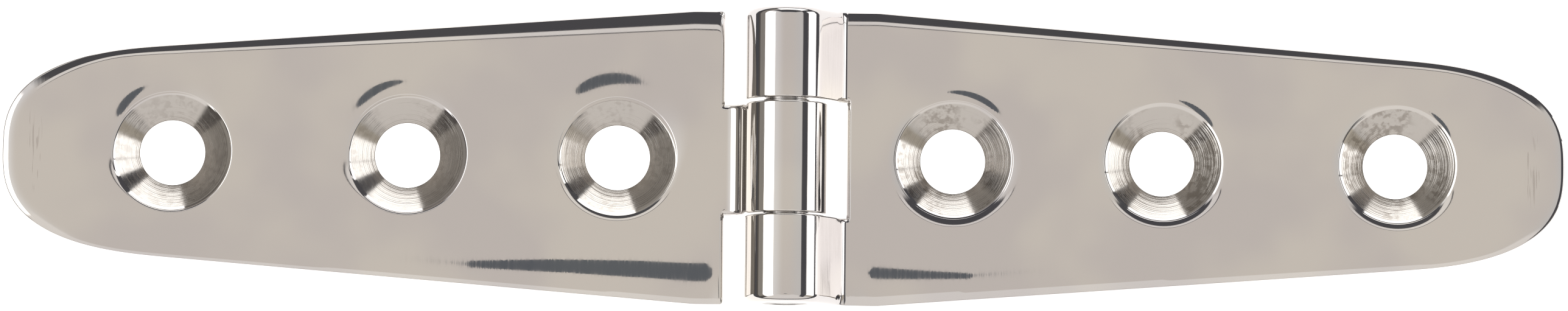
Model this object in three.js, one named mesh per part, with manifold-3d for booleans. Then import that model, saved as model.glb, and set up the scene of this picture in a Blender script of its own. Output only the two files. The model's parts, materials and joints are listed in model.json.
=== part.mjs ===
// Strap hinge: two tapered leaves that fold about one pin.
// Frame: millimetres, +X along the right leaf, +Y along the pin, +Z out of the countersunk face.
// The origin is on the leaves' back plane, under the middle of the pin.

import * as THREE from 'three';
import { mergeVertices } from 'three/addons/utils/BufferGeometryUtils.js';
import Module from 'manifold-3d';

// Leaves
const LEAF_REACH = 76.2;          // pin axis to leaf tip, so 152.4 mm (6 in) over both leaves
const LEAF_WIDTH = 28.7;          // widest, at the knuckles
const LEAF_THICKNESS = 2.5;
const TAPER_START = 9.0;          // distance from the pin axis where the sides begin to close in
const TAPER_DEG = 4.45;           // each side, measured from the leaf's centre line
const NOSE_START = 60.0;          // distance from the pin axis where the rounded nose begins
const NOSE_POWER = 2.8;           // 2 would be a plain ellipse
const NOTCH_EDGE = 5.97;          // pin axis to the edge that faces the other leaf's knuckle

// Countersunk screw holes
const HOLE_FROM_PIN = [16.4, 36.9, 59.8];
const HOLE_DIAMETER = 6.35;       // 1/4 in
const HOLE_LAND = 0.3;            // straight wall left under the countersink
const CONE_DIAMETER = 10.8;
const RIM_DIAMETER = 11.6;        // outside of the countersink's broken edge
const RIM_BREAK = 0.12;           // height of that broken edge
const DISH_DIAMETER = 18.4;       // polishing leaves the face dished around each hole
const DISH_DEPTH = 0.3;           // how far the rim lies below the flat face

// Knuckles and pin
const BARREL_DIAMETER = 8.0;
const BORE_DIAMETER = 4.1;
const PIN_DIAMETER = 4.0;
const PIN_CHAMFER = 0.3;
const PIN_RECESS = 0.15;          // each pin end sits this far inside the knuckle's end
// Each leaf's knuckle roots: hollow at the front face, and how far the normal of the flat
// web between that hollow and the barrel leans from +Z
const LEFT_ROOT = { fillet: 1.8, webTiltDeg: 81.4 };
const RIGHT_ROOT = { fillet: 1.0, webTiltDeg: 57 };
const ROOT_OVERLAP = 2.0;         // how far the knuckle's section runs into the leaf
const MIDDLE_KNUCKLE = [-5.65, 5.15];
const UPPER_KNUCKLE = [5.5, LEAF_WIDTH / 2];
const LOWER_KNUCKLE = [-LEAF_WIDTH / 2, -5.85];

const ROUND_SEGMENTS = 48;
const NOSE_SEGMENTS = 28;
const DISH_SEGMENTS = 4;
const CUT_MARGIN = 1.0;           // how far each cutting tool passes the face it cuts

const AXIS_HEIGHT = BARREL_DIAMETER / 2;

const wasm = await Module();
wasm.setup();

function toSolid(geometry) {
  const bare = geometry.clone();
  bare.deleteAttribute('normal');
  bare.deleteAttribute('uv');
  const merged = mergeVertices(bare, 1e-5);
  return new wasm.Manifold(new wasm.Mesh({
    numProp: 3,
    vertProperties: new Float32Array(merged.attributes.position.array),
    triVerts: new Uint32Array(merged.index.array),
  }));
}

function toGeometry(solid) {
  const mesh = solid.getMesh();
  const geometry = new THREE.BufferGeometry();
  geometry.setAttribute('position', new THREE.BufferAttribute(mesh.vertProperties, 3));
  geometry.setIndex(new THREE.BufferAttribute(mesh.triVerts, 1));
  geometry.computeVertexNormals();
  return geometry;
}

// Half the leaf's width at a distance from the pin axis, before the nose is rounded.
function taperedHalfWidth(distance) {
  const closing = Math.tan(THREE.MathUtils.degToRad(TAPER_DEG));
  return LEAF_WIDTH / 2 - closing * Math.max(0, distance - TAPER_START);
}

// One side of the nose, from where the taper meets it to the tip.
function nosePoints() {
  const length = LEAF_REACH - NOSE_START;
  const points = [];
  for (let i = 0; i <= NOSE_SEGMENTS; i += 1) {
    const angle = (Math.PI / 2) * (1 - i / NOSE_SEGMENTS);
    const along = NOSE_START + length * Math.cos(angle) ** (2 / NOSE_POWER);
    const rounding = Math.max(0, Math.sin(angle)) ** (2 / NOSE_POWER);
    points.push(new THREE.Vector2(along, taperedHalfWidth(along) * rounding));
  }
  points[NOSE_SEGMENTS].set(LEAF_REACH, 0);
  return points;
}

// A leaf without its knuckles or holes, reaching along +X.
function leafPlate() {
  const nose = nosePoints();
  const upperSide = [
    new THREE.Vector2(NOTCH_EDGE, LEAF_WIDTH / 2),
    new THREE.Vector2(TAPER_START, LEAF_WIDTH / 2),
    ...nose,
  ];
  const lowerSide = upperSide.slice(0, -1).reverse().map((p) => new THREE.Vector2(p.x, -p.y));
  const outline = new THREE.Shape([...upperSide, ...lowerSide]);
  return new THREE.ExtrudeGeometry(outline, {
    depth: LEAF_THICKNESS,
    bevelEnabled: false,
  });
}

// The knuckle's section in X and Z: barrel, bore, hollow fillet and a tongue into the leaf.
function knuckleSection({ fillet, webTiltDeg }) {
  const tilt = THREE.MathUtils.degToRad(webTiltDeg);
  const filletHeight = LEAF_THICKNESS + fillet;
  const drop = AXIS_HEIGHT - filletHeight;
  const filletX = (AXIS_HEIGHT + fillet + drop * Math.cos(tilt)) / Math.sin(tilt);
  const contact = Math.PI / 2 - tilt;
  const tongueEnd = NOTCH_EDGE + ROOT_OVERLAP;

  const section = new THREE.Shape();
  section.moveTo(0, 0);
  section.lineTo(tongueEnd, 0);
  section.lineTo(tongueEnd, LEAF_THICKNESS);
  section.lineTo(filletX, LEAF_THICKNESS);
  section.absarc(filletX, filletHeight, fillet, -Math.PI / 2, contact - Math.PI, true);
  section.absarc(0, AXIS_HEIGHT, AXIS_HEIGHT, contact, 1.5 * Math.PI, false);

  const bore = new THREE.Path();
  bore.absarc(0, AXIS_HEIGHT, BORE_DIAMETER / 2, 0, 2 * Math.PI, true);
  section.holes.push(bore);
  return section;
}

function knuckle([from, to], root) {
  const geometry = new THREE.ExtrudeGeometry(knuckleSection(root), {
    depth: to - from,
    bevelEnabled: false,
    curveSegments: ROUND_SEGMENTS,
  });
  geometry.rotateX(Math.PI / 2);
  geometry.translate(0, to, 0);
  return geometry;
}

// The dished face from the countersink's rim outwards: steepest at the rim, level at its edge.
function dishProfile() {
  const points = [];
  for (let i = 0; i <= DISH_SEGMENTS; i += 1) {
    const outward = i / DISH_SEGMENTS;
    const radius = THREE.MathUtils.lerp(RIM_DIAMETER / 2, DISH_DIAMETER / 2, outward);
    points.push([radius, LEAF_THICKNESS - DISH_DEPTH * (1 - outward) ** 2]);
  }
  return points;
}

// The tool that cuts one screw hole: straight land, countersink, broken edge, dish.
function screwHoleTool(distance) {
  const land = HOLE_DIAMETER / 2;
  const profile = [
    [0, -CUT_MARGIN],
    [land, -CUT_MARGIN],
    [land, HOLE_LAND],
    [CONE_DIAMETER / 2, LEAF_THICKNESS - DISH_DEPTH - RIM_BREAK],
    ...dishProfile(),
    [DISH_DIAMETER / 2, LEAF_THICKNESS + CUT_MARGIN],
    [0, LEAF_THICKNESS + CUT_MARGIN],
  ].map(([radius, height]) => new THREE.Vector2(radius, height));
  const geometry = new THREE.LatheGeometry(profile, ROUND_SEGMENTS);
  geometry.rotateX(Math.PI / 2);
  geometry.translate(distance, 0, 0);
  return geometry;
}

// A whole leaf, reaching along +X: plate, its own knuckles and the screw holes.
function leafGeometry(knuckleSpans, root) {
  let solid = toSolid(leafPlate());
  for (const span of knuckleSpans) {
    solid = solid.add(toSolid(knuckle(span, root)));
  }
  for (const distance of HOLE_FROM_PIN) {
    solid = solid.subtract(toSolid(screwHoleTool(distance)));
  }
  return toGeometry(solid);
}

function pinGeometry() {
  const half = LEAF_WIDTH / 2 - PIN_RECESS;
  const radius = PIN_DIAMETER / 2;
  const profile = [
    [0, -half],
    [radius - PIN_CHAMFER, -half],
    [radius, -half + PIN_CHAMFER],
    [radius, half - PIN_CHAMFER],
    [radius - PIN_CHAMFER, half],
    [0, half],
  ].map(([r, y]) => new THREE.Vector2(r, y));
  return new THREE.LatheGeometry(profile, ROUND_SEGMENTS);
}

function polishedSteel(color) {
  return new THREE.MeshStandardMaterial({ color, roughness: 0.12, metalness: 1.0 });
}

function namedMesh(name, geometry, color) {
  const mesh = new THREE.Mesh(geometry, polishedSteel(color));
  mesh.name = name;
  return mesh;
}

const hinge = new THREE.Group();

const rightSpans = [UPPER_KNUCKLE, LOWER_KNUCKLE];
const rightLeaf = namedMesh('right_leaf', leafGeometry(rightSpans, RIGHT_ROOT), 0xc6c1bc);
hinge.add(rightLeaf);

// The left leaf is drawn reaching along +X with its knuckle span mirrored in Y,
// then turned half a turn about +Z.
const turnedSpan = [-MIDDLE_KNUCKLE[1], -MIDDLE_KNUCKLE[0]];
const leftLeaf = namedMesh('left_leaf', leafGeometry([turnedSpan], LEFT_ROOT), 0xcac5c0);
leftLeaf.rotation.z = Math.PI;
hinge.add(leftLeaf);

const pin = namedMesh('hinge_pin', pinGeometry(), 0xb9b6b3);
pin.position.z = AXIS_HEIGHT;
hinge.add(pin);

export default hinge;
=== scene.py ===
import json
import math

import bpy
import numpy as np
from mathutils import Matrix, Vector
from mathutils.geometry import delaunay_2d_cdt


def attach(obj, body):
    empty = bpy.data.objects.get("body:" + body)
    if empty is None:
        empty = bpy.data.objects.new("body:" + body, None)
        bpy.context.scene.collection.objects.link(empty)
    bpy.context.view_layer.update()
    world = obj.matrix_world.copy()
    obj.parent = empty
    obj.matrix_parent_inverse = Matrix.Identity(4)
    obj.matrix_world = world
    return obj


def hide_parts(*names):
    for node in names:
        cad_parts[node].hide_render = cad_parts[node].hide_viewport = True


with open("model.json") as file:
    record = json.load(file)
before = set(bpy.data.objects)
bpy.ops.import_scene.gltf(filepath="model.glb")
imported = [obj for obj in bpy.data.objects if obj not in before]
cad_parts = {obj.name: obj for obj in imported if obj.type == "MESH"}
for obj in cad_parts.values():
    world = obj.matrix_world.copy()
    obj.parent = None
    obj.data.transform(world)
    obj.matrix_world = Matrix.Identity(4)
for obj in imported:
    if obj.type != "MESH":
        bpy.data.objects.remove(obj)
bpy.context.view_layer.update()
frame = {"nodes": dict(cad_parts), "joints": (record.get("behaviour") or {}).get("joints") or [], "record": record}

MM = 0.001

# -------------------------------- sizes, in millimetres
# What the frame states is read from it; the rest of the shape is named here.


def node_points(name):
    mesh = frame["nodes"][name].data
    points = np.zeros(len(mesh.vertices) * 3)
    mesh.vertices.foreach_get("co", points)
    return points.reshape(-1, 3) / MM


LEFT_POINTS = node_points("left_leaf")
RIGHT_POINTS = node_points("right_leaf")
PIN_POINTS = node_points("hinge_pin")

REACH = RIGHT_POINTS[:, 0].max()                      # pin axis to leaf tip
HALF_WIDTH = RIGHT_POINTS[:, 1].max()
THICKNESS = RIGHT_POINTS[RIGHT_POINTS[:, 0] > REACH / 2, 2].max()
AXIS_Z = frame["joints"][0]["pos_m"][2] / MM
BARREL_R = RIGHT_POINTS[:, 2].max() - AXIS_Z
PIN_R = PIN_POINTS[:, 0].max()
PIN_HALF = PIN_POINTS[:, 1].max()


def hole_distances():
    """Distance of each screw hole from the pin axis, from the right leaf's stated openings."""
    found = []
    for opening in frame["record"]["physics"]["openings"]:
        low, high = opening["box_m"]
        if low[0] > 0:
            found.append((low[0] + high[0]) / 2 / MM)
    return sorted(found)


def knuckle_spans():
    """Where each leaf's knuckles start and end along the pin: past the axis a leaf has no more."""
    left = LEFT_POINTS[LEFT_POINTS[:, 0] > PIN_R, 1]
    right = RIGHT_POINTS[RIGHT_POINTS[:, 0] < -PIN_R, 1]
    upper = right[right > 0]
    lower = right[right < 0]
    return [(left.min(), left.max())], [(lower.min(), lower.max()), (upper.min(), upper.max())]


HOLES = hole_distances()
LEFT_SPANS, RIGHT_SPANS = knuckle_spans()

# Plan of a leaf
NOTCH_EDGE = 5.97          # from the pin axis to the edge that faces the other leaf's knuckles
TAPER_START = 9.0
TAPER_SLOPE = math.tan(math.radians(4.45))
NOSE_START = 60.0
NOSE_POWER = 2.8           # 2 would make the nose an ellipse; more makes it squarer
CORNER_R = 0.3             # leaf corner seen from the front

# Screw holes
HOLE_R = 3.175
LAND_TOP = 0.3             # the cone starts at this height
CONE_SLOPE = 0.8
RIM_R = 5.8                # the dip in the face ends here, at its deepest
RIM_WIDTH = 0.2            # rounded rim between the cone and the dipped face
RIM_DROP = RIM_WIDTH * CONE_SLOPE / 2
LIP_WIDTH = 0.12           # small step all round the rim
LIP_DROP = 0.022
DISH_TURN = (math.radians(30), math.radians(112))     # a dip's deep side fades out between these

# Polish of the front
SIDE_BLEND = 3             # the lower side's polish becomes the upper side's within this of the middle
NOSE_BLEND = (12, 3)       # the sides' polish becomes the nose's between these, from the tip
ROLL_SLOPE = 0.5           # slope of the upper roll-off at the edge
CORNER_WIDTH = 1.0         # the upper roll-off turns down beside the notch within this
CORNER_POWER = 3
BAND_SLOPES = (0.24, 0.5)  # slope of the lower bevel at its inner side, at the edge
NOTCH_ROUND = 0.5          # radius of the edges that face the other leaf's knuckles

# Other edges
TOP_EDGE = 0.10            # width of the small edge radius outside the polished roll-off
BOTTOM_EDGE = 0.14         # radius of the edge around the back
EDGE_FADE = 0.3            # the edge radii of a notch fade out within this of a knuckle
KNUCKLE_EDGE = 0.18        # edge between a knuckle and its neighbour
PIN_END_EDGE = 0.75        # edge round the two ends of the barrel
ROOT_RISE = 0.2            # a root's edge grows to a barrel's edge from this far above the front
UNDER_TURN = (-0.1, -0.9)  # and from the back's edge between these, in radians from straight down
INSET_RISE = 0.1           # the leaf's own edge fades out up the root from this far above the front
BORE_R = PIN_R + 0.05
BORE_CHAMFER = 0.18
PIN_DOME = 0.12            # how far the pin's peened ends bulge
DOME_SHARE = 0.96          # the dome's share of the pin's radius
PIN_EDGE = 0.1             # height of the edge outside the dome

# Fineness of the mesh
SLOPE_STEP = 0.004         # slopes are worked out over this step to each side
WELD = 0.0005              # corners this close become one
TOUCH = 1e-6
STRAIGHT_STEPS = 120       # along a straight side
NOSE_STEPS = 64            # round half the nose
CORNER_STEPS = 6
BETWEEN_ROWS = 31          # along the notch edge between two knuckles
BESIDE_ROWS = 24           # along the notch edge beside a single knuckle
EDGE_STEPS = 5             # across an edge radius
SPAN_ROWS = 34             # along a knuckle
ROW_POWER = 1.8            # draws those rows towards the knuckle's ends
ROOT_STEPS = 16
BARREL_STEPS = 96
HOLE_SEGMENTS = 120
BORE_SEGMENTS = 64

# Where the front's sample points lie, in distances from a hole's axis, an edge or each other
CONE_RINGS = (5.25, 10)    # last radius, and how many from the hole's own
RIM_RINGS = ((5.3, 5.7, 0.05), (5.7, 5.92, 0.02), (5.95, 6.3, 0.05))    # first, end, step
DISH_RINGS = (6.3, 18)     # first radius, and how many to the last
DISH_MARGIN = 0.2          # the last ring lies this far outside the dip
RING_GAP = 0.15            # other points keep this far from the last ring
EDGE_LINES = (0.16, 0.24, 0.34, 0.46, 0.6, 0.76, 0.95, 1.2, 1.5, 1.85, 2.25, 2.7, 3.2, 3.8, 4.5)
LINE_SLACK = 0.01
COARSE_LINES = 2.5         # lines this far in keep every second point
NOTCH_LINES = (0.13, 0.17, 0.22, 0.28, 0.35, 0.43, 0.52, 0.62, 0.73, 0.85)
NOTCH_STEP = 0.2
FRONT_GRID = (0.55, 0.55 * 0.9)       # step along the leaf, step across it
GRID_START = 0.8           # from the notch edge
FRONT_GRID_GAP = 0.2       # from the innermost edge line
FRONT_EDGE_GAP = 0.03
BACK_GRID = 1.6
BACK_HOLE_GAP = 0.6
BACK_EDGE_GAP = 0.3

# -------------------------------- shape of a leaf's front


def smooth(x, low, high):
    t = np.clip((np.asarray(x, float) - low) / (high - low), 0, 1)
    return t * t * (3 - 2 * t)


def half_width(u):
    taper = HALF_WIDTH - TAPER_SLOPE * np.maximum(0, u - TAPER_START)
    along = np.clip((u - NOSE_START) / (REACH - NOSE_START), 0, 1)
    return taper * (1 - along ** NOSE_POWER) ** (1 / NOSE_POWER)


def side_curve():
    """The outer edge from the notch along the lower side, round the nose, along the upper side."""
    straight = np.linspace(NOTCH_EDGE, NOSE_START, STRAIGHT_STEPS, endpoint=False)
    angle = np.linspace(math.pi / 2, 0, NOSE_STEPS + 1)
    nose = NOSE_START + (REACH - NOSE_START) * np.cos(angle) ** (2 / NOSE_POWER)
    nose[-1] = REACH
    u = np.concatenate([straight, nose])
    v = half_width(u)
    v[-1] = 0
    lower = np.stack([u, -v], 1)
    upper = np.stack([u[:-1], v[:-1]], 1)[::-1]
    return np.concatenate([lower, upper])


def beside_notch(v, gap=0.0):
    """Plan points at a distance from the notch edge."""
    return np.stack([np.full(len(v), NOTCH_EDGE + gap), v], 1)


def distance_to(points, line, chunk=64):
    """Distance of each point from an open polyline."""
    a, b = line[:-1], line[1:]
    ab = b - a
    length2 = np.maximum((ab ** 2).sum(1), 1e-12)
    best = np.full(len(points), np.inf)
    for first in range(0, len(a), chunk):
        part = slice(first, first + chunk)
        ap = points[:, None, :] - a[None, part]
        t = np.clip((ap * ab[None, part]).sum(2) / length2[None, part], 0, 1)
        gap = ap - t[..., None] * ab[None, part]
        best = np.minimum(best, np.sqrt((gap ** 2).sum(2)).min(1))
    return best


class Dish:
    """The face dips towards a screw hole, deeper on the side the polishing wheel leaned to."""

    def __init__(self, lean, deep, shallow):
        self.lean = math.radians(lean)    # direction of the deeper side, from +X towards +Y
        self.deep = deep                  # radius where the dip starts, its slope at the rim
        self.shallow = shallow            # the same on the other side

    def at(self, r, angle):
        """Drop of the face at a place, and at the rim in the same direction."""
        apart = np.abs((angle - self.lean + math.pi) % (2 * math.pi) - math.pi)
        share = 1 - smooth(apart, *DISH_TURN)
        start = self.shallow[0] + (self.deep[0] - self.shallow[0]) * share
        slope = self.shallow[1] + (self.deep[1] - self.shallow[1]) * share
        length = start - RIM_R
        depth = slope * length / 2
        x = np.clip((r - RIM_R) / length, 0, 1)
        return depth * (1 - x) ** 2, depth


class Belly:
    """A soft fall to the lower edge over part of the leaf's length."""

    def __init__(self, places, reaches, slope, starts, ends):
        self.places = places              # distances from the pin axis
        self.reaches = reaches            # how far in from the edge the fall reaches at each
        self.slope = slope                # at the edge
        self.starts = starts              # the fall fades in between these distances
        self.ends = ends                  # and out between these

    def drop(self, u, d):
        reach = np.interp(u, self.places, self.reaches)
        amount = smooth(u, *self.starts) * (1 - smooth(u, *self.ends))
        return amount * self.slope * reach / 2 * np.clip(1 - d / reach, 0, 1) ** 2


class LeafForm:
    """One leaf in its own plan: u away from the pin axis, v along the pin, z out of the front."""

    def __init__(self, name, side, spans, section, roll, corner, band, nose, belly, dishes):
        self.name = name
        self.side = side                  # +1 reaches along +X, -1 along -X
        self.spans = spans                # the leaf's own knuckles along the pin
        self.section = section
        self.roll = roll                  # upper edge roll-off: width at the knuckle, at the nose
        self.corner = corner              # how far the roll-off turns down beside the notch
        self.band = band                  # lower edge bevel: width at the knuckle, at the nose
        self.nose = nose                  # roll-off round the nose: width, slope at the edge
        self.belly = belly
        self.dishes = dishes              # one Dish for each hole
        beyond = -2 * BARREL_R
        self.side_line = np.concatenate(
            [[[beyond, -HALF_WIDTH]], side_curve(), [[beyond, HALF_WIDTH]]]
        )
        self.notch_lines = self._notch_lines(beyond)

    def _notch_lines(self, beyond):
        """The edges that face the other leaf's knuckles, with the ends of this leaf's own."""
        lines = []
        edges = [-HALF_WIDTH] + [v for span in self.spans for v in span] + [HALF_WIDTH]
        for low, high in zip(edges[::2], edges[1::2]):
            if high - low < TOUCH:
                continue
            line = [[NOTCH_EDGE, low], [NOTCH_EDGE, high]]
            if low > -HALF_WIDTH + TOUCH:
                line.insert(0, [beyond, low])
            if high < HALF_WIDTH - TOUCH:
                line.append([beyond, high])
            lines.append(np.array(line, float))
        return lines

    def notch_distance(self, uv):
        return np.min([distance_to(uv, line) for line in self.notch_lines], axis=0)

    def side_drop(self, d, uv):
        """How far the polishing wheel has taken the face down at a distance d from the edge."""
        u, v = uv[:, 0], uv[:, 1]
        along = np.clip((u - NOTCH_EDGE) / (REACH - NOTCH_EDGE), 0, 1)
        nose = smooth(u, REACH - NOSE_BLEND[0], REACH - NOSE_BLEND[1])
        upper = smooth(v, -SIDE_BLEND, SIDE_BLEND)
        rolled = np.maximum(upper, nose)

        roll = self.roll[0] + (self.roll[1] - self.roll[0]) * along
        roll = roll + (self.nose[0] - roll) * nose
        steep = ROLL_SLOPE + (self.nose[1] - ROLL_SLOPE) * nose
        near = np.clip(1 - self.notch_distance(uv) / CORNER_WIDTH, 0, 1)
        inward = d - self.corner * near ** CORNER_POWER
        drop = rolled * steep * roll / 4 * np.clip(1 - inward / roll, 0, 1) ** 4

        band = self.band[0] + (self.band[1] - self.band[0]) * along ** 0.5
        x = np.clip(1 - d / band, 0, 1)
        low, high = BAND_SLOPES
        drop += (1 - rolled) * band * (low * x + (high - low) * x ** 2 / 2)
        return drop + (1 - upper) * self.belly.drop(u, d)

    def hole_drop(self, uv):
        """The dips round the holes, their rounded rims and the countersinks."""
        drop = np.zeros(len(uv))
        for centre, dish in zip(HOLES, self.dishes):
            du, v = uv[:, 0] - centre, uv[:, 1]
            r = np.hypot(du, v)
            face, depth = dish.at(r, np.arctan2(v, du * self.side))
            face = face + LIP_DROP * (1 - smooth(r, RIM_R - LIP_WIDTH / 2, RIM_R + LIP_WIDTH / 2))
            # the cone is a true one, so its edge runs further out where the face is higher
            cone_height = THICKNESS - (depth + LIP_DROP) - RIM_DROP - LAND_TOP
            cone_edge = HOLE_R + cone_height / CONE_SLOPE
            t = np.clip((cone_edge + RIM_WIDTH - r) / RIM_WIDTH, 0, 1)
            drop += face + RIM_DROP * t ** 2 + CONE_SLOPE * np.clip(cone_edge - r, 0, None)
        return drop

    def height(self, uv):
        d = distance_to(uv, self.side_line)
        # stops short of 1, where the round edge would stand upright
        x = np.clip(1 - self.notch_distance(uv) / NOTCH_ROUND, 0, 0.98)
        notch = NOTCH_ROUND * (1 - np.sqrt(1 - x ** 2))
        return THICKNESS - self.side_drop(d, uv) - notch - self.hole_drop(uv)

    def front(self, uv):
        """Height and unit normal of the front face at each plan point."""
        step = SLOPE_STEP
        du = self.height(uv + [step, 0]) - self.height(uv - [step, 0])
        dv = self.height(uv + [0, step]) - self.height(uv - [0, step])
        normal = np.stack([-du / (2 * step), -dv / (2 * step), np.ones(len(uv))], 1)
        return self.height(uv), normal / np.linalg.norm(normal, axis=1)[:, None]


class Section:
    """Section of a knuckle from the leaf's front, over the barrel, to the leaf's back."""

    def __init__(self, fillet, first_lean):
        """A hollow of radius fillet, then a flat web to the barrel.

        first_lean is how far the hollow's normal leans where it leaves the front, in degrees.
        """
        self.places, self.normals, self.parts = [], [], []
        first = math.radians(first_lean)
        u = NOTCH_EDGE + fillet * math.sin(first)
        z = THICKNESS + fillet * math.cos(first)
        reach = math.asin((BARREL_R + fillet) / math.hypot(u, z - AXIS_Z))
        tilt = reach - math.atan2(z - AXIS_Z, u)
        self.add(NOTCH_EDGE, THICKNESS, 0, 1, "front")
        for lean in np.linspace(first, tilt, ROOT_STEPS + 1):
            nu, nz = math.sin(lean), math.cos(lean)
            self.add(u - fillet * nu, z - fillet * nz, nu, nz, "root")
        foot = self.places[-1]
        top = (BARREL_R * math.sin(tilt), AXIS_Z + BARREL_R * math.cos(tilt))
        for share in (0.25, 0.5, 0.75):
            u = foot[0] + (top[0] - foot[0]) * share
            z = foot[1] + (top[1] - foot[1]) * share
            self.add(u, z, math.sin(tilt), math.cos(tilt), "root")
        for angle in np.linspace(math.pi / 2 - tilt, 1.5 * math.pi, BARREL_STEPS + 1):
            nu, nz = math.cos(angle), math.sin(angle)
            self.add(BARREL_R * nu, AXIS_Z + BARREL_R * nz, nu, nz, "barrel")
        for u in (2.0, 4.0, NOTCH_EDGE):
            self.add(u, 0, 0, -1, "back")
        self.places = np.array(self.places)
        self.normals = np.array(self.normals)

    def add(self, u, z, nu, nz, part):
        self.places.append((u, z))
        self.normals.append((nu, nz))
        self.parts.append(part)


# -------------------------------- mesh building

POLISHED, GROUND, BORED = 0, 1, 2


class Skin:
    """Faces with their own corner normals, welded into one closed mesh at the end."""

    def __init__(self):
        self.corners, self.normals, self.sizes, self.kinds = [], [], [], []

    def faces(self, points, normals, kind):
        """points and normals: faces x corners x 3."""
        self.corners.append(points.reshape(-1, 3))
        self.normals.append(normals.reshape(-1, 3))
        self.sizes.append(np.full(points.shape[0], points.shape[1]))
        self.kinds.append(np.full(points.shape[0], kind))

    def grid(self, points, normals, kind, flip=False, closed=False):
        """A rows x columns grid of points."""
        if closed:
            points = np.concatenate([points, points[:, :1]], 1)
            normals = np.concatenate([normals, normals[:, :1]], 1)

        def quads(a):
            q = [a[:-1, :-1], a[:-1, 1:], a[1:, 1:], a[1:, :-1]]
            return np.stack(q[::-1] if flip else q, 2).reshape(-1, 4, 3)

        self.faces(quads(points), quads(normals), kind)

    def build(self, name, side):
        """The mesh as an object; side -1 mirrors it to reach along -X."""
        corners = np.concatenate(self.corners) * [side, 1, 1]
        normals = np.concatenate(self.normals) * [side, 1, 1]
        sizes = np.concatenate(self.sizes)
        kinds = np.concatenate(self.kinds)
        # the shift keeps round numbers, such as 0, off the border between two cells
        cell = np.floor(corners / WELD + 0.317).astype(np.int64)
        _, first, index = np.unique(cell, axis=0, return_index=True, return_inverse=True)
        index = index.reshape(-1)
        starts = np.concatenate([[0], np.cumsum(sizes)[:-1]])
        faces, kept, face_kinds = [], [], []
        for start, size, kind in zip(starts, sizes, kinds):
            order = list(range(start, start + size))
            if side < 0:
                order.reverse()
            ring = []
            for corner in order:
                if not ring or index[corner] != index[ring[-1]]:
                    ring.append(corner)
            if len(ring) > 1 and index[ring[0]] == index[ring[-1]]:
                ring.pop()
            face = [int(index[corner]) for corner in ring]
            if len(face) < 3 or len(set(face)) < len(face):
                continue
            faces.append(face)
            kept.extend(ring)
            face_kinds.append(int(kind))
        mesh = bpy.data.meshes.new(name)
        mesh.from_pydata((corners[first] * MM).tolist(), [], faces)
        mesh.polygons.foreach_set("material_index", face_kinds)
        mesh.polygons.foreach_set("use_smooth", [True] * len(faces))
        mesh.update()
        unit = normals[kept] / np.linalg.norm(normals[kept], axis=1)[:, None]
        mesh.normals_split_custom_set(unit.tolist())
        obj = bpy.data.objects.new(name, mesh)
        bpy.context.scene.collection.objects.link(obj)
        return obj


def inside(points, loop):
    """Which points lie inside a closed loop."""
    x, y = points[:, 0], points[:, 1]
    result = np.zeros(len(points), bool)
    for (x0, y0), (x1, y1) in zip(loop, np.roll(loop, -1, axis=0)):
        if y0 == y1:
            continue
        crosses = (y0 > y) != (y1 > y)
        result ^= crosses & (x < x0 + (y - y0) * (x1 - x0) / (y1 - y0))
    return result


def triangulate(outer, holes, extra):
    """Triangles of the region inside outer and outside the holes, using the extra points too."""
    loops = [outer] + holes
    points = np.concatenate(loops + [extra])
    edges, base = [], 0
    for loop in loops:
        count = len(loop)
        edges += [(base + i, base + (i + 1) % count) for i in range(count)]
        base += count
    made = delaunay_2d_cdt([Vector(p) for p in points], edges, [], 0, 1e-7)
    source = np.array([given[0] if given else -1 for given in made[3]])
    found = np.array([list(v) for v in made[0]])
    found[source >= 0] = points[source[source >= 0]]
    triangles = np.array([f for f in made[2] if len(f) == 3])
    centres = found[triangles].mean(1)
    keep = inside(centres, outer)
    for hole in holes:
        keep &= ~inside(centres, hole)
    triangles = triangles[keep]
    a, b, c = (found[triangles[:, i]] for i in range(3))
    area = (b - a)[:, 0] * (c - a)[:, 1] - (b - a)[:, 1] * (c - a)[:, 0]
    triangles[area < 0] = triangles[area < 0][:, ::-1]
    return found, triangles[np.abs(area) > 1e-6], source


def circle(centre, radius, count):
    angle = np.arange(count) * 2 * math.pi / count
    return np.stack([centre[0] + radius * np.cos(angle), centre[1] + radius * np.sin(angle)], 1)


def hole_circles(radius):
    return [circle((centre, 0), radius, HOLE_SEGMENTS) for centre in HOLES]


def lift(plan, z):
    return np.concatenate([plan, np.broadcast_to(z, (len(plan),))[:, None]], 1)


def rounded_edge(base, lean, radius, first, last):
    """Loops of an edge radius from base, and their normals, which turn from first to last.

    lean is how far the surface before the edge already leans towards last.
    """

    def direction(angle):
        return np.sin(angle)[:, None] * last + np.cos(angle)[:, None] * first

    centre = base - radius[:, None] * direction(lean)
    loops, normals = [], []
    for k in range(EDGE_STEPS + 1):
        normals.append(direction(lean + (math.pi / 2 - lean) * k / EDGE_STEPS))
        loops.append(centre + radius[:, None] * normals[-1])
    loops[0] = base
    return np.array(loops), np.array(normals)


# -------------------------------- knuckles


def end_rounding(section, at_side):
    """Radius of the edge between each section point and the knuckle's end face."""
    full = PIN_END_EDGE if at_side else KNUCKLE_EDGE
    front = TOP_EDGE if at_side else 0.0
    back = BOTTOM_EDGE if at_side else 0.0
    radii = []
    for (u, z), part in zip(section.places, section.parts):
        if part == "front":
            radii.append(front)
        elif part == "root":
            rise = float(smooth(z, THICKNESS + ROOT_RISE, AXIS_Z))
            radii.append(front + (full - front) * rise)
        elif part == "barrel":
            grown = 1.0 if z >= AXIS_Z else float(smooth(math.atan2(u, AXIS_Z - z), *UNDER_TURN))
            radii.append(BOTTOM_EDGE + (full - BOTTOM_EDGE) * grown)
        else:
            radii.append(BOTTOM_EDGE + (back - BOTTOM_EDGE) * u / NOTCH_EDGE)
    return np.array(radii)


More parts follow.
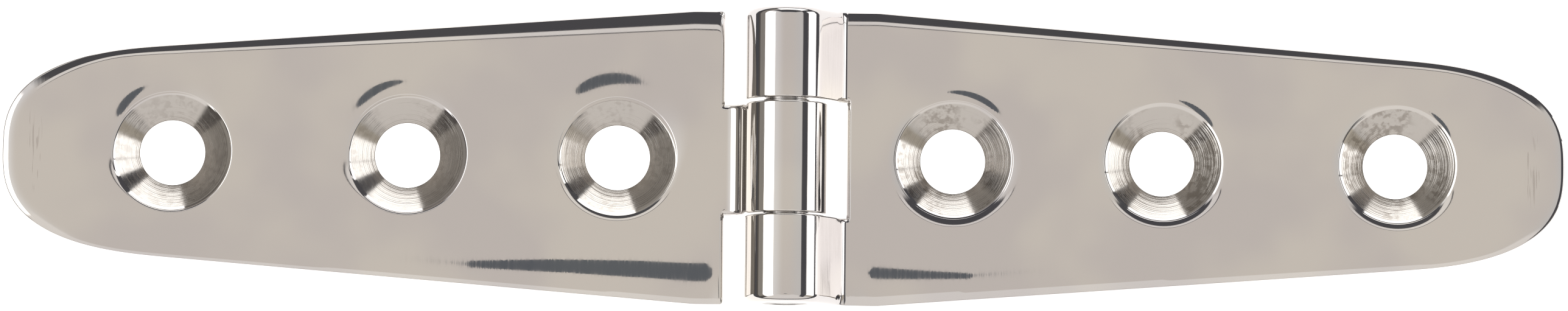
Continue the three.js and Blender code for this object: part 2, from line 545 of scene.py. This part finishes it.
def spread(count):
    """Fractions from 0 to 1, closer together near both ends."""
    t = np.linspace(-1, 1, count)
    return (np.sign(t) * (1 - (1 - np.abs(t)) ** ROW_POWER) + 1) / 2


def add_knuckle(skin, form, span):
    """A knuckle with its root. Returns the lines where it joins the plate's front and back."""
    section = form.section
    rounds = [end_rounding(section, abs(abs(v) - HALF_WIDTH) < TOUCH) for v in span]
    low = (span[0] + rounds[0])[:, None]
    high = (span[1] - rounds[1])[:, None]
    rows = low + (high - low) * spread(SPAN_ROWS)
    count = len(section.places)
    height = section.places[:, 1]
    weight = np.where(np.isin(section.parts, ("front", "root")),
                      1 - smooth(height, THICKNESS + INSET_RISE, AXIS_Z), 0.0)

    def inset(v):
        """The leaf's own edge rounding, carried a little way up the root."""
        drop = height[0] - form.height(beside_notch(v.reshape(-1)))
        return drop.reshape(v.shape) * weight[:, None]

    depth = inset(rows)
    slope = (inset(rows + SLOPE_STEP) - inset(rows - SLOPE_STEP)) / (2 * SLOPE_STEP)
    nu, nz = section.normals[:, 0][:, None], section.normals[:, 1][:, None]
    lean = smooth(np.arange(count), 0, ROOT_STEPS / 2)[:, None]
    u = section.places[:, 0][:, None] - lean * nu * depth
    z = height[:, None] - (1 - lean + lean * nz) * depth
    points = np.stack([u, rows, z], 2)
    normals = np.stack([nu + 0 * rows, slope, nz + 0 * rows], 2)
    normals /= np.linalg.norm(normals, axis=2)[..., None]
    back = section.parts.index("back") - 1
    skin.grid(points[: back + 1], normals[: back + 1], POLISHED)
    skin.grid(points[back:], normals[back:], GROUND)
    for end, sign in ((0, -1.0), (-1, 1.0)):
        lean = np.arctan(slope[:, end] * sign)
        out = np.stack([section.normals[:, 0], np.zeros(count), section.normals[:, 1]], 1)
        along = np.array([0, sign, 0.0])
        radius = rounds[end] / (1 - np.sin(lean))
        loops, loop_normals = rounded_edge(points[:, end], lean, radius, out, along)
        loops[-1][:, 1] = span[end]
        skin.grid(loops, loop_normals, POLISHED, flip=sign > 0)
        add_end_cap(skin, loops[-1], sign)
    add_bore(skin, span)
    return points[0][::-1], points[-1][::-1]


def add_end_cap(skin, loop, sign):
    """The flat end of a knuckle, around the bore."""
    plan = [loop[0, [0, 2]]]
    for place in loop[1:, [0, 2]]:
        if np.hypot(*(place - plan[-1])) > 2 * WELD:
            plan.append(place)
    bore = circle((0, AXIS_Z), BORE_R + BORE_CHAMFER, BORE_SEGMENTS)
    middle = circle((0, AXIS_Z), (BORE_R + BARREL_R) / 2, BORE_SEGMENTS)
    found, triangles, _ = triangulate(np.array(plan), [bore], middle)
    points = np.stack([found[:, 0], np.full(len(found), loop[0, 1]), found[:, 1]], 1)
    if sign > 0:
        triangles = triangles[:, ::-1]
    normals = np.broadcast_to([0, sign, 0.0], points.shape)
    skin.faces(points[triangles], normals[triangles], POLISHED)


def add_bore(skin, span):
    """The tunnel for the pin, with a small chamfer at each end."""
    angle = np.arange(BORE_SEGMENTS) * 2 * math.pi / BORE_SEGMENTS
    ring = np.stack([np.cos(angle), np.zeros(BORE_SEGMENTS), np.sin(angle)], 1)
    axis = np.array([0, 0, AXIS_Z])

    def loop(radius, v):
        return ring * radius + axis + [0, v, 0]

    low, high = span
    inner = [loop(BORE_R, low + BORE_CHAMFER), loop(BORE_R, high - BORE_CHAMFER)]
    skin.grid(np.array(inner), np.array([-ring, -ring]), BORED, closed=True)
    for v, sign, near in ((low, -1, inner[0]), (high, 1, inner[1])):
        tilt = -ring * math.sqrt(0.5) + [0, sign * math.sqrt(0.5), 0]
        pair = [loop(BORE_R + BORE_CHAMFER, v), near]
        skin.grid(np.array(pair), np.array([tilt, tilt]), BORED, closed=True, flip=sign > 0)


# -------------------------------- plate


def edge_points(form):
    """Wall stretches of the leaf's edge, counter-clockwise, as (points, outward normals)."""
    curve = side_curve()
    if form.side > 0:
        low, high = form.spans[0][1], form.spans[1][0]
        walls = [curve, beside_notch(np.linspace(high, low, BETWEEN_ROWS))]
    else:
        low, high = form.spans[0]
        turn = np.linspace(0, math.pi / 2, CORNER_STEPS + 1)
        corner = NOTCH_EDGE + CORNER_R
        side = HALF_WIDTH - CORNER_R
        round_low = np.stack([corner - CORNER_R * np.cos(turn), -side - CORNER_R * np.sin(turn)], 1)
        walls = [np.concatenate([
            beside_notch(np.linspace(low, -side, BESIDE_ROWS)[:-1]),
            round_low,
            curve[curve[:, 0] > corner + 0.05],
            round_low[::-1] * [1, -1],
            beside_notch(np.linspace(side, high, BESIDE_ROWS)[1:]),
        ])]
    result = []
    for points in walls:
        tangent = np.gradient(points, axis=0)
        tangent[0] = points[1] - points[0]
        tangent[-1] = points[-1] - points[-2]
        tangent /= np.linalg.norm(tangent, axis=1)[:, None]
        result.append((points, np.stack([tangent[:, 1], -tangent[:, 0]], 1)))
    return result


def edge_fade(points):
    """1 along a wall, and 0 at ends that meet a knuckle away from the leaf's sides."""
    if abs(abs(points[0, 1]) - HALF_WIDTH) < TOUCH:
        return np.ones(len(points))
    ends = [np.linalg.norm(points - end, axis=1) for end in (points[0], points[-1])]
    return np.clip(np.min(ends, axis=0) / EDGE_FADE, 0, 1)


def add_walls(skin, form):
    """The walls with their rounded edges. Returns the front and back line of each."""
    up = np.array([0, 0, 1.0])
    lines = []
    for points, normal in edge_points(form):
        out = lift(normal, 0.0)
        top, bottom = TOP_EDGE * edge_fade(points), BOTTOM_EDGE * edge_fade(points)
        start = points - normal * top[:, None]
        z, face_normal = form.front(start)
        lean = np.arctan((face_normal[:, :2] * normal).sum(1) / face_normal[:, 2])
        radius = top / (1 - np.sin(lean))
        front, front_normals = rounded_edge(lift(start, z), lean, radius, up, out)
        upright = np.zeros(len(points))
        back, back_normals = rounded_edge(lift(points, bottom), upright, bottom, out, -up)
        skin.grid(front, front_normals, POLISHED, flip=True)
        skin.grid(np.array([front[-1], back[0]]), np.array([out, out]), POLISHED, flip=True)
        skin.grid(back, back_normals, POLISHED, flip=True)
        lines.append((front[0], back[-1]))
    return lines


def plan_loop(walls, seams):
    """The closed line round the leaf's plan, where walls and knuckle seams take turns."""
    stretches = []
    for wall, seam in zip(walls, seams):
        joined = np.allclose(wall[-1], seam[0], atol=2 * WELD)
        stretches += [wall[:-1] if joined else wall, seam[:-1]]
    return np.concatenate(stretches)


def add_plate(skin, form, seams):
    """The flat of the leaf: outside walls, front, back and screw holes."""
    walls, wall_backs = zip(*add_walls(skin, form))
    seam_fronts, seam_backs = zip(*seams)
    add_front(skin, form, plan_loop(walls, seam_fronts))
    add_back(skin, plan_loop(wall_backs, seam_backs))
    for centre, hole in zip(HOLES, hole_circles(HOLE_R)):
        ring = lift((hole - [centre, 0]) / HOLE_R, 0.0)
        top = lift(hole, form.height(hole))
        low = lift(hole, BOTTOM_EDGE)
        skin.grid(np.array([top, low]), np.array([-ring, -ring]), POLISHED, closed=True)
        tilt = -ring * math.sqrt(0.5) + [0, 0, -math.sqrt(0.5)]
        mouth = lift(circle((centre, 0), HOLE_R + BOTTOM_EDGE, HOLE_SEGMENTS), 0.0)
        skin.grid(np.array([low, mouth]), np.array([tilt, tilt]), POLISHED, closed=True)


def add_front(skin, form, outer):
    """The polished face with its countersinks, joined to the heights of its outer line."""
    plan = outer[:, :2]
    found, triangles, source = triangulate(plan, hole_circles(HOLE_R), front_points(form, plan))
    z, normal = form.front(found)
    shared = (source >= 0) & (source < len(outer))
    z[shared] = outer[source[shared], 2]
    skin.faces(lift(found, z)[triangles], normal[triangles], POLISHED)


def add_back(skin, outer):
    plan = outer[:, :2]
    mouths = hole_circles(HOLE_R + BOTTOM_EDGE)
    found, triangles, _ = triangulate(plan, mouths, back_points(plan))
    triangles = triangles[:, ::-1]
    points = lift(found, 0.0)
    normals = np.broadcast_to([0, 0, -1.0], points.shape)
    skin.faces(points[triangles], normals[triangles], GROUND)


def front_points(form, outer):
    """Sample points of the front: rings round the holes, lines inside the edge, an even grid."""
    rings, others, ring_ends = [], [], []
    for centre, dish in zip(HOLES, form.dishes):
        end = dish.deep[0] + DISH_MARGIN
        radii = np.concatenate([
            np.linspace(HOLE_R, *CONE_RINGS)[1:],
            *(np.arange(*rim) for rim in RIM_RINGS),
            DISH_RINGS[0] + (end - DISH_RINGS[0]) * np.linspace(0, 1, DISH_RINGS[1])[1:],
        ])
        rings += [circle((centre, 0), radius, HOLE_SEGMENTS) for radius in radii]
        ring_ends.append(end)

    edge = form.side_line[1:-1]
    tangent = np.gradient(edge, axis=0)
    tangent /= np.linalg.norm(tangent, axis=1)[:, None]
    inward = np.stack([-tangent[:, 1], tangent[:, 0]], 1)
    for d in EDGE_LINES:
        line = (edge + inward * d)[:: 1 if d < COARSE_LINES else 2]
        others.append(line[distance_to(line, form.side_line) > d - LINE_SLACK])
    for line in form.notch_lines:
        for d in NOTCH_LINES:
            others.append(beside_notch(np.arange(-HALF_WIDTH, HALF_WIDTH, NOTCH_STEP), d))
    step, row_step = FRONT_GRID
    u, v = np.meshgrid(np.arange(NOTCH_EDGE + GRID_START, REACH, step),
                       np.arange(-HALF_WIDTH, HALF_WIDTH, row_step))
    u = u + (np.arange(len(u)) % 2)[:, None] * step / 2
    grid = np.stack([u.ravel(), v.ravel()], 1)
    others.append(grid[distance_to(grid, form.side_line) > EDGE_LINES[-1] + FRONT_GRID_GAP])

    others = np.concatenate(others)
    for centre, end in zip(HOLES, ring_ends):
        others = others[np.hypot(others[:, 0] - centre, others[:, 1]) > end + RING_GAP]
    return well_inside(np.concatenate(rings + [others]), outer, FRONT_EDGE_GAP)


def back_points(outer):
    u, v = np.meshgrid(np.arange(NOTCH_EDGE, REACH, BACK_GRID),
                       np.arange(-HALF_WIDTH, HALF_WIDTH, BACK_GRID))
    grid = np.stack([u.ravel(), v.ravel()], 1)
    for centre in HOLES:
        grid = grid[np.hypot(grid[:, 0] - centre, grid[:, 1]) > HOLE_R + BACK_HOLE_GAP]
    return well_inside(grid, outer, BACK_EDGE_GAP)


def well_inside(points, loop, gap):
    """The points inside a loop and more than gap away from it."""
    points = points[inside(points, loop)]
    return points[distance_to(points, np.concatenate([loop, loop[:1]])) > gap]


# -------------------------------- the three pieces


def build_leaf(form):
    skin = Skin()
    seams = [add_knuckle(skin, form, span) for span in sorted(form.spans, reverse=True)]
    add_plate(skin, form, seams)
    return skin.build(form.name, form.side)


def build_pin():
    """The pin, turned about Y, with lightly peened ends."""
    profile = [(0, PIN_HALF + PIN_DOME)]
    for t in np.linspace(0.15, 1, 8):
        profile.append((PIN_R * DOME_SHARE * t, PIN_HALF + PIN_DOME * (1 - t * t)))
    profile += [(PIN_R, PIN_HALF - PIN_EDGE), (PIN_R, PIN_HALF - 4 * PIN_EDGE)]
    profile = np.array(profile)
    whole = np.concatenate([profile, profile[::-1] * [1, -1]])
    tangent = np.gradient(whole, axis=0)
    normal = np.stack([-tangent[:, 1], tangent[:, 0]], 1)
    normal /= np.linalg.norm(normal, axis=1)[:, None]
    angle = np.arange(BORE_SEGMENTS) * 2 * math.pi / BORE_SEGMENTS

    def ring(radius, y, z):
        return np.stack([radius * np.cos(angle), np.full(len(angle), y),
                         z + radius * np.sin(angle)], 1)

    points = [ring(r, y, AXIS_Z) for r, y in whole]
    normals = [ring(nr, ny, 0) for nr, ny in normal]
    skin = Skin()
    skin.grid(np.array(points), np.array(normals), POLISHED, closed=True)
    return skin.build("hinge_pin_ground", 1)


LEFT = LeafForm(
    name="left_leaf_polished",
    side=-1,
    spans=LEFT_SPANS,
    section=Section(fillet=1.95, first_lean=0),
    roll=(3.6, 1.1),
    corner=1.3,
    band=(0.6, 0.25),
    nose=(2.2, 0.67),
    belly=Belly(places=(8, 14, 22, 31), reaches=(5.9, 5.6, 4.9, 3.7), slope=0.152,
                starts=(4.8, 7.8), ends=(46.0, 72.0)),
    dishes=[Dish(92, deep=(10.1, 0.175), shallow=(6.55, 0.24)),
            Dish(125, deep=(8.6, 0.185), shallow=(6.2, 0.15)),
            Dish(124, deep=(8.3, 0.185), shallow=(6.2, 0.14))],
)
RIGHT = LeafForm(
    name="right_leaf_polished",
    side=1,
    spans=RIGHT_SPANS,
    section=Section(fillet=1.0, first_lean=18),
    roll=(2.4, 1.3),
    corner=0.0,
    band=(1.0, 0.4),
    nose=(1.9, 0.61),
    belly=Belly(places=(8, 13, 18), reaches=(5.3, 4.45, 3.7), slope=0.19,
                starts=(5.7, 8.8), ends=(38.0, 62.0)),
    dishes=[Dish(58, deep=(7.75, 0.175), shallow=(6.75, 0.34)),
            Dish(42, deep=(7.2, 0.155), shallow=(6.65, 0.30)),
            Dish(26, deep=(7.0, 0.17), shallow=(6.65, 0.30))],
)

left_leaf = build_leaf(LEFT)
right_leaf = build_leaf(RIGHT)
pin = build_pin()

for piece, body, node, slot in (
    (left_leaf, "left_leaf", "left_leaf", "polished_stainless"),
    (right_leaf, "right_leaf", "right_leaf", "polished_stainless"),
    (pin, "right_leaf", "hinge_pin", "pin_steel"),
):
    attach(piece, body)
    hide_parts(node)

# -------------------------------- materials


class Nodes:
    """A short way to write a node tree: an input is a value or another node's output."""

    def __init__(self, tree):
        self.tree = tree
        tree.nodes.clear()

    def make(self, kind, settings=None, **inputs):
        """A node with its inputs by name, _ for a space, or by number: i0, i1 and so on."""
        node = self.tree.nodes.new(kind)
        for name, value in (settings or {}).items():
            setattr(node, name, value)
        for name, value in inputs.items():
            key = int(name[1:]) if name[0] == "i" and name[1:].isdigit() else name.replace("_", " ")
            self.join(node.inputs[key], value)
        return node

    def join(self, socket, value):
        if isinstance(value, bpy.types.NodeSocket):
            self.tree.links.new(value, socket)
        else:
            socket.default_value = value

    def math(self, operation, *values):
        node = self.make("ShaderNodeMath", {"operation": operation})
        for socket, value in zip(node.inputs, values):
            self.join(socket, value)
        return node.outputs[0]

    def ramp(self, value, low, high, out_low=0.0, out_high=1.0):
        """Smoothly from out_low to out_high as value goes from low to high."""
        node = self.make("ShaderNodeMapRange", {"interpolation_type": "SMOOTHSTEP"}, Value=value,
                         From_Min=low, From_Max=high, To_Min=out_low, To_Max=out_high)
        return node.outputs[0]

    def band(self, value, low, high, soft):
        """1 between low and high, 0 outside, with soft edges."""
        rise = self.ramp(value, low - soft / 2, low + soft / 2)
        fall = self.ramp(value, high - soft / 2, high + soft / 2, 1.0, 0.0)
        return self.math("MULTIPLY", rise, fall)

    def mix(self, amount, first, second):
        node = self.make("ShaderNodeMix", {"data_type": "RGBA"}, i0=amount, i6=first, i7=second)
        return node.outputs[2]

    def scaled(self, vector, factors):
        node = self.make("ShaderNodeVectorMath", {"operation": "MULTIPLY"}, i0=vector, i1=factors)
        return node.outputs[0]

    def noise(self, vector, scale, stretch=(1, 1, 1), detail=2.0):
        """Noise of a place, its grain long along an axis where stretch is small."""
        node = self.make("ShaderNodeTexNoise", None, Scale=scale, Detail=detail,
                         Vector=self.scaled(vector, stretch))
        return node.outputs["Fac"]


def rgb(red, green, blue):
    return (red, green, blue, 1.0)


def new_material(name):
    material = bpy.data.materials.new(name)
    material.use_nodes = True
    return material, Nodes(material.node_tree)


WARM_STEEL = rgb(0.680, 0.650, 0.612)
COOL_STEEL = rgb(0.618, 0.590, 0.578)
TURNED_STEEL = rgb(0.52, 0.49, 0.455)
GROUND_LIGHT = rgb(0.60, 0.575, 0.555)
GROUND_DARK = rgb(0.53, 0.51, 0.495)
STAIN = rgb(0.16, 0.13, 0.10)
SCRATCH = rgb(0.40, 0.36, 0.33)
SCRATCH_REACH = (0.0724, 0.0737)      # from the pin axis, in metres
SCRATCH_SIDE = (-0.0035, 0.0032)      # across the leaf


def hole_radius(nodes, place, side):
    """Distance from the nearest screw hole's axis, in metres."""
    flat = nodes.scaled(place, (1, 1, 0))
    radius = None
    for centre in HOLES:
        away = nodes.make("ShaderNodeVectorMath", {"operation": "DISTANCE"}, i0=flat,
                          i1=(side * centre * MM, 0, 0)).outputs["Value"]
        radius = away if radius is None else nodes.math("MINIMUM", radius, away)
    return radius


def turned_rings(nodes, place, radius):
    """The fine rings that the countersink tool left, uneven round the hole."""
    rings = nodes.make("ShaderNodeCombineXYZ")
    nodes.join(rings.inputs[0], nodes.math("MULTIPLY", radius, 7000.0))
    nodes.join(rings.inputs[1], nodes.noise(place, 250.0))
    noise = nodes.make("ShaderNodeTexNoise", {"noise_dimensions": "2D"}, Scale=1.0, Detail=2.0,
                       Vector=rings.outputs[0])
    return noise.outputs["Fac"]


def stains(nodes, place, cone):
    """Patches of small dark spots in the countersinks."""
    spots = nodes.ramp(nodes.noise(place, 1500.0, detail=5.0), 0.44, 0.62)
    patches = nodes.ramp(nodes.noise(place, 210.0), 0.42, 0.58)
    return nodes.math("MULTIPLY", nodes.math("MULTIPLY", cone, spots), patches)


def scratches(nodes, place, side):
    """Short scratches across the leaf near its tip, where it has been handled."""
    x, y, z = nodes.make("ShaderNodeSeparateXYZ", None, Vector=place).outputs
    across = nodes.band(nodes.math("MULTIPLY", x, side), *SCRATCH_REACH, 0.0003)
    near = nodes.math("MULTIPLY", across, nodes.band(y, *SCRATCH_SIDE, 0.002))
    lines = nodes.ramp(nodes.noise(place, 5200.0, (1, 0.06, 1), 1.0), 0.56, 0.64)
    return nodes.math("MULTIPLY", near, lines)


def metal(nodes, colour, roughness, height, relief):
    """Finish a material as bare metal, its bumps relief metres high for each unit of height."""
    bump = nodes.make("ShaderNodeBump", None, Strength=1.0, Distance=relief, Height=height)
    shader = nodes.make("ShaderNodeBsdfPrincipled", None, Base_Color=colour, Metallic=1.0,
                        Roughness=roughness, Normal=bump.outputs[0])
    nodes.make("ShaderNodeOutputMaterial", None, Surface=shader.outputs[0])


def polished_steel(name, side, stained):
    """Mirror-polished faces with turned countersinks; side is which leaf, +1 along +X."""
    material, nodes = new_material(name)
    place = nodes.make("ShaderNodeTexCoord").outputs["Object"]
    radius = hole_radius(nodes, place, side)
    cone = nodes.band(radius, HOLE_R * MM, (RIM_R - 0.3) * MM, 0.00015)
    scratched = scratches(nodes, place, side)
    stain = nodes.math("MULTIPLY", stains(nodes, place, cone), stained)

    colour = nodes.mix(nodes.ramp(nodes.noise(place, 75.0), 0.38, 0.62), WARM_STEEL, COOL_STEEL)
    colour = nodes.mix(nodes.math("MULTIPLY", cone, 0.85), colour, TURNED_STEEL)
    colour = nodes.mix(stain, colour, STAIN)
    colour = nodes.mix(nodes.math("MULTIPLY", scratched, 0.45), colour, SCRATCH)

    roughness = nodes.ramp(nodes.noise(place, 60.0, detail=4.0), 0.35, 0.75, 0.02, 0.05)
    lines = nodes.ramp(nodes.noise(place, 5200.0, (1, 0.05, 1), 3.0), 0.3, 0.7)
    for amount, added in ((cone, 0.1), (lines, 0.035), (scratched, 0.15)):
        roughness = nodes.math("ADD", roughness, nodes.math("MULTIPLY", amount, added))

    rings = nodes.math("MULTIPLY", cone, turned_rings(nodes, place, radius))
    hairlines = nodes.noise(place, 4200.0, (1, 0.04, 1))
    height = nodes.math("ADD", nodes.math("MULTIPLY", rings, 13.0), hairlines)
    metal(nodes, colour, roughness, height, 0.0000012)
    return material


def ground_steel(name, stretch):
    """The plainer finish of backs, bores and the pin."""
    material, nodes = new_material(name)
    place = nodes.make("ShaderNodeTexCoord").outputs["Object"]
    grain = nodes.noise(place, 4200.0, stretch, 3.0)
    colour = nodes.mix(nodes.noise(place, 90.0, detail=4.0), GROUND_LIGHT, GROUND_DARK)
    metal(nodes, colour, nodes.ramp(grain, 0.3, 0.7, 0.28, 0.36), grain, 0.000004)
    return material


ground = ground_steel("ground_steel", (0.06, 1, 1))
for leaf, side, stained in ((left_leaf, -1, 0.2), (right_leaf, 1, 0.48)):
    # in the order of POLISHED, GROUND and BORED
    for material in (polished_steel(leaf.name, side, stained), ground, ground):
        leaf.data.materials.append(material)
pin.data.materials.append(ground_steel("pin_steel", (1, 1, 1)))

# -------------------------------- floor, light and camera

FLOOR_Z = -0.080                 # clear of the folded leaf
FLOOR_HALF = 0.45


def build_floor():
    """A plain pale floor, clear from below so that views from there see the hinge."""
    edge = FLOOR_HALF
    mesh = bpy.data.meshes.new("floor")
    corners = [(-edge, -edge, FLOOR_Z), (edge, -edge, FLOOR_Z),
               (edge, edge, FLOOR_Z), (-edge, edge, FLOOR_Z)]
    mesh.from_pydata(corners, [], [(0, 1, 2, 3)])
    floor = bpy.data.objects.new("floor", mesh)
    bpy.context.scene.collection.objects.link(floor)
    material, nodes = new_material("pale_floor")
    behind = nodes.make("ShaderNodeNewGeometry").outputs["Backfacing"]
    diffuse = nodes.make("ShaderNodeBsdfDiffuse", None, Color=rgb(0.8, 0.8, 0.8))
    glow = nodes.make("ShaderNodeEmission", None, Color=rgb(1, 1, 1), Strength=0.75)
    lit = nodes.make("ShaderNodeAddShader", None, i0=diffuse.outputs[0], i1=glow.outputs[0])
    clear = nodes.make("ShaderNodeBsdfTransparent")
    whole = nodes.make("ShaderNodeMixShader", None, i0=behind, i1=lit.outputs[0],
                       i2=clear.outputs[0])
    nodes.make("ShaderNodeOutputMaterial", None, Surface=whole.outputs[0])
    mesh.materials.append(material)


CEILING = rgb(0.80, 0.755, 0.711)
CEILING_LEFT = rgb(0.97, 0.96, 0.96)
CEILING_RIGHT = rgb(0.775, 0.765, 0.75)
PALE = rgb(0.97, 0.94, 0.915)
WHITE = rgb(2.2, 2.2, 2.2)
DARK = rgb(0.095, 0.095, 0.105)
CAMERA_BLACK = rgb(0.15, 0.165, 0.185)
BROWN = rgb(0.118, 0.108, 0.102)
GREY = rgb(0.33, 0.31, 0.285)
BEIGE = rgb(0.56, 0.52, 0.45)


def build_studio():
    """A soft studio round the hinge: a pale ceiling, white panels, and dark gaps between them."""
    world = bpy.data.worlds.new("studio")
    bpy.context.scene.world = world
    world.use_nodes = True
    nodes = Nodes(world.node_tree)
    place = nodes.make("ShaderNodeTexCoord").outputs["Generated"]
    x, y, z = nodes.make("ShaderNodeSeparateXYZ", None, Vector=place).outputs
    degrees = 180 / math.pi

    def angle(first, second):
        return nodes.math("MULTIPLY", nodes.math("ARCTAN2", first, second), degrees)

    across = angle(x, z)                 # from straight up towards +X
    along = angle(y, z)                  # from straight up towards +Y
    round_about = angle(y, x)            # from +X towards +Y
    opposite = angle(y, nodes.math("MULTIPLY", x, -1.0))    # from -X towards +Y
    zenith = nodes.math("MULTIPLY", nodes.math("ARCCOSINE", z), degrees)
    light = CEILING

    def panel(colour, *masks):
        """A colour where all the masks are 1, over what is there already."""
        nonlocal light
        amount = masks[0]
        for mask in masks[1:]:
            amount = nodes.math("MULTIPLY", amount, mask)
        light = nodes.mix(amount, light, colour)

    # overhead, in degrees
    panel(CEILING_LEFT, nodes.ramp(across, -6, -36))
    panel(CEILING_RIGHT, nodes.ramp(across, 8, 40))
    towards_viewer = nodes.band(round_about, -145, -35, 10)
    panel(PALE, towards_viewer, nodes.ramp(zenith, 18, 28))
    # far side
    far = nodes.band(round_about, 42, 128, 8)
    panel(DARK, far, nodes.band(along, 11.8, 13, 0.8))
    panel(PALE, far, nodes.band(along, 13, 20, 1.0))
    panel(DARK, far, nodes.band(along, 20, 58, 2))
    # right side
    right = nodes.band(round_about, -46, 46, 8)
    panel(DARK, right, nodes.band(across, 44, 61, 3))
    # left side
    left = nodes.band(opposite, -40, 40, 6)
    panel(WHITE, left, nodes.band(across, -66, -35, 2))
    # near the horizon
    low = nodes.ramp(zenith, 61, 63)
    panel(WHITE, low, nodes.band(round_about, 52, 107, 2))
    panel(DARK, low, nodes.band(round_about, 33, 52, 2))
    panel(WHITE, low, nodes.band(round_about, -14, 33, 2))
    panel(DARK, low, nodes.band(round_about, 14.4, 15.6, 0.6))
    panel(BEIGE, low, nodes.band(round_about, -30, -14, 3))
    horizon = nodes.ramp(zenith, 65, 67)
    panel(GREY, horizon, nodes.band(opposite, -42, 73, 3))
    panel(BROWN, horizon, nodes.band(opposite, -46, -26, 5))
    panel(BROWN, nodes.ramp(zenith, 81, 84), nodes.band(opposite, -46, 73, 3))
    # level with the hinge and below
    panel(DARK, nodes.ramp(zenith, 87, 88.5))
    seen = nodes.make("ShaderNodeLightPath").outputs["Is Camera Ray"]
    light = nodes.mix(seen, light, rgb(1, 1, 1))
    background = nodes.make("ShaderNodeBackground", None, Color=light, Strength=1.0)
    nodes.make("ShaderNodeOutputWorld", None, Surface=background.outputs[0])


AIM = Vector((-0.00011, 0.00045, 0))
VIEW_FROM = Vector((-0.01524, -0.05752, 0.63789))     # viewer's place, from the aim
ROLL = 0.0095                    # radians
LENS = 150.3                     # millimetres, for a sensor 36 wide

BODY_HALF = (0.056, 0.031)       # the camera's front: half its width and height
BODY_PLACE = (0.018, 0.004)      # its middle, to the right of the lens and behind it
BODY_SIDES = 96


def build_camera():
    data = bpy.data.cameras.new("viewer")
    data.lens = LENS
    data.sensor_width = 36
    data.clip_start = 0.01
    data.clip_end = 100
    camera = bpy.data.objects.new("viewer", data)
    bpy.context.scene.collection.objects.link(camera)
    back = VIEW_FROM.normalized()
    right = Vector((0, 1, 0)).cross(back).normalized()
    up = back.cross(right)
    turned_right = right * math.cos(ROLL) + up * math.sin(ROLL)
    turned_up = up * math.cos(ROLL) - right * math.sin(ROLL)
    turn = Matrix((turned_right, turned_up, back)).transposed()
    camera.matrix_world = Matrix.Translation(AIM + VIEW_FROM) @ turn.to_4x4()
    bpy.context.scene.camera = camera
    return camera


def build_camera_body(camera):
    """The dark front of the viewer's camera, which polished steel mirrors."""
    mesh = bpy.data.meshes.new("camera_body")
    oval = lift(circle((0, 0), 1, BODY_SIDES) * BODY_HALF + [BODY_PLACE[0], 0], BODY_PLACE[1])
    mesh.from_pydata(oval.tolist(), [], [tuple(range(BODY_SIDES))])
    body = bpy.data.objects.new("camera_body", mesh)
    bpy.context.scene.collection.objects.link(body)
    body.matrix_world = camera.matrix_world.copy()
    material, nodes = new_material("camera_black")
    dark = nodes.make("ShaderNodeEmission", None, Color=CAMERA_BLACK, Strength=1.0)
    nodes.make("ShaderNodeOutputMaterial", None, Surface=dark.outputs[0])
    mesh.materials.append(material)
    body.visible_camera = False
    body.visible_shadow = False
    body.visible_diffuse = False


build_floor()
build_studio()
build_camera_body(build_camera())
bpy.context.scene.view_settings.view_transform = "Standard"
